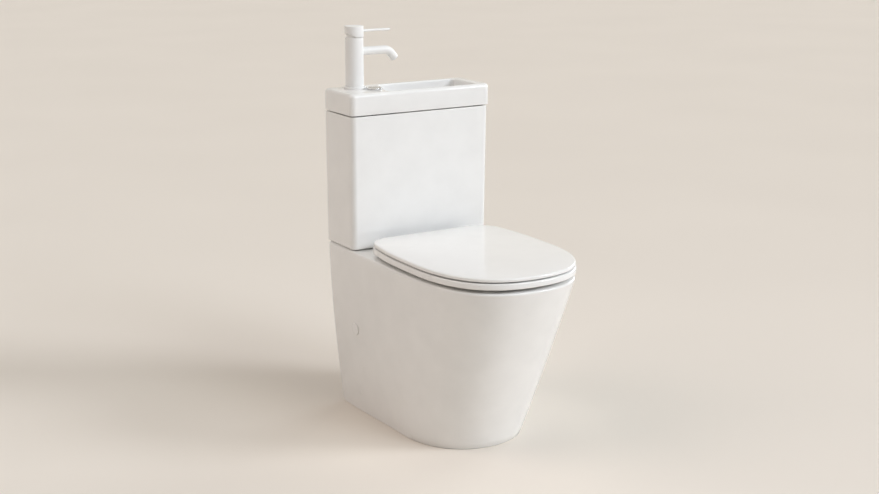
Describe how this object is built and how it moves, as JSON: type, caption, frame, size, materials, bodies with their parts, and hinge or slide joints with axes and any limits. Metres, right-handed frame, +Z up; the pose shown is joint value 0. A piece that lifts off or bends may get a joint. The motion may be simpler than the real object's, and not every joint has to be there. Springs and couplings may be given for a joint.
{
  "type": "toilet with basin on the cistern",
  "caption": "Close-coupled toilet with a skirted pan, a seat and lid, and a cistern whose lid is a hand basin with a side-facing lever tap and a dual flush button.",
  "frame": {"origin": "middle of the footprint on the floor, below the centre of the bounding box", "axes": "+X to the right of someone facing the front, -Y to the front, +Y to the wall, +Z up"},
  "size_m": [0.374, 0.6186, 0.9193],
  "materials": {
    "ceramic": "white glaze",
    "seat_plastic": "glossy white",
    "tap_finish": "satin white coating",
    "chrome": "polished",
    "steel": "plain",
    "plastic": "moulded",
    "rubber": "matt"
  },
  "bodies": {
    "base": {"pan": "ceramic", "cistern_tank": "ceramic", "basin_lid": "ceramic", "hinge_discs": "chrome", "hinge_blocks": "chrome", "hinge_pins": "steel", "hinge_bolts": "steel", "hinge_nuts": "plastic", "tap_base_ring": "tap_finish", "tap_body": "tap_finish", "tap_spout": "tap_finish", "tap_aerator": "chrome", "tap_cartridge": "plastic", "cartridge_nut": "tap_finish", "tap_stud": "steel", "tap_rubber_washer": "rubber", "tap_clamp_washer": "steel", "tap_clamp_nut": "steel", "button_bezel": "chrome", "button_nut": "plastic", "button_springs": "steel", "lever_bracket": "plastic", "lever_pin": "steel", "flush_valve": "plastic", "valve_washer": "rubber", "valve_backnut": "plastic", "fill_valve": "plastic", "fill_washer": "rubber", "fill_nut": "plastic", "basin_waste": "chrome", "waste_nut": "plastic", "coupling_gasket": "rubber", "cistern_bolts": "steel", "bolt_seals": "rubber", "wing_nuts": "plastic", "access_caps": "ceramic", "floor_brackets": "plastic", "side_screws": "steel", "screw_caps": "ceramic"},
    "ring": {"seat_ring": "seat_plastic", "ring_buffers": "plastic"},
    "lid": {"seat_lid": "seat_plastic", "lid_buffers": "plastic"},
    "rotor": {"cartridge_rotor": "plastic", "stem_pin": "steel"},
    "handle": {"cartridge_stem": "steel", "tap_cap": "tap_finish", "tap_lever": "tap_finish", "cap_screw": "steel"},
    "full_button": {"full_button": "chrome", "full_rod": "steel"},
    "half_button": {"half_button": "chrome", "half_rod": "steel"},
    "full_rocker": {"full_lever": "plastic"},
    "half_rocker": {"half_lever": "plastic"},
    "plunger": {"valve_plunger": "plastic", "plunger_seal": "rubber"},
    "trip": {"trip_rod": "plastic"},
    "float": {"fill_float": "plastic"},
    "arm": {"fill_arm": "plastic"}
  },
  "joints": [
    {"name": "ring_hinge", "type": "hinge", "parent": "base", "child": "ring", "pos_m": [0, 0.138, 0.43], "axis": [1, 0, 0], "range_deg": [-93, 0]},
    {"name": "lid_hinge", "type": "hinge", "parent": "ring", "child": "lid", "pos_m": [0, 0.138, 0.43], "axis": [-1, 0, 0], "range_deg": [0, 93]},
    {"name": "tap_swivel", "type": "hinge", "parent": "base", "child": "rotor", "pos_m": [-0.129, 0.265, 0.8947], "axis": [0, 0, 1], "range_deg": [-45, 25]},
    {"name": "tap_lift", "type": "hinge", "parent": "rotor", "child": "handle", "pos_m": [-0.129, 0.265, 0.8947], "axis": [0, -1, 0], "range_deg": [0, 18]},
    {"name": "full_press", "type": "slide", "parent": "base", "child": "full_button", "axis": [0, 0, -1], "range_m": [0, 0.005], "stiffness_N_per_m": 400, "springref_m": -0.002},
    {"name": "half_press", "type": "slide", "parent": "base", "child": "half_button", "axis": [0, 0, -1], "range_m": [0, 0.005], "stiffness_N_per_m": 400, "springref_m": -0.002},
    {"name": "full_rock", "type": "hinge", "parent": "base", "child": "full_rocker", "pos_m": [-0.066, 0.221, 0.6424], "axis": [0, -1, 0], "range_deg": [0, 8.8]},
    {"name": "half_rock", "type": "hinge", "parent": "base", "child": "half_rocker", "pos_m": [-0.066, 0.236, 0.6424], "axis": [0, -1, 0], "range_deg": [0, 8.8]},
    {"name": "plunger_lift", "type": "slide", "parent": "base", "child": "plunger", "axis": [0, 0, 1], "range_m": [0, 0.0127]},
    {"name": "trip_lift", "type": "slide", "parent": "base", "child": "trip", "axis": [0, 0, 1], "range_m": [0, 0.0056]},
    {"name": "float_slide", "type": "slide", "parent": "base", "child": "float", "axis": [0, 0, -1], "range_m": [0, 0.011]},
    {"name": "arm_tilt", "type": "hinge", "parent": "base", "child": "arm", "pos_m": [0.105, 0.246, 0.6184], "axis": [0, -1, 0], "range_deg": [0, 23.8]}
  ],
  "couplings": [
    {"joint": "full_rock", "follows": "full_press", "rad_per_m": 30.3},
    {"joint": "half_rock", "follows": "half_press", "rad_per_m": 30.3},
    {"joint": "plunger_lift", "follows": "full_press", "ratio": 2.5},
    {"joint": "trip_lift", "follows": "half_press", "ratio": 1.1},
    {"joint": "arm_tilt", "follows": "float_slide", "rad_per_m": 37.4}
  ]
}
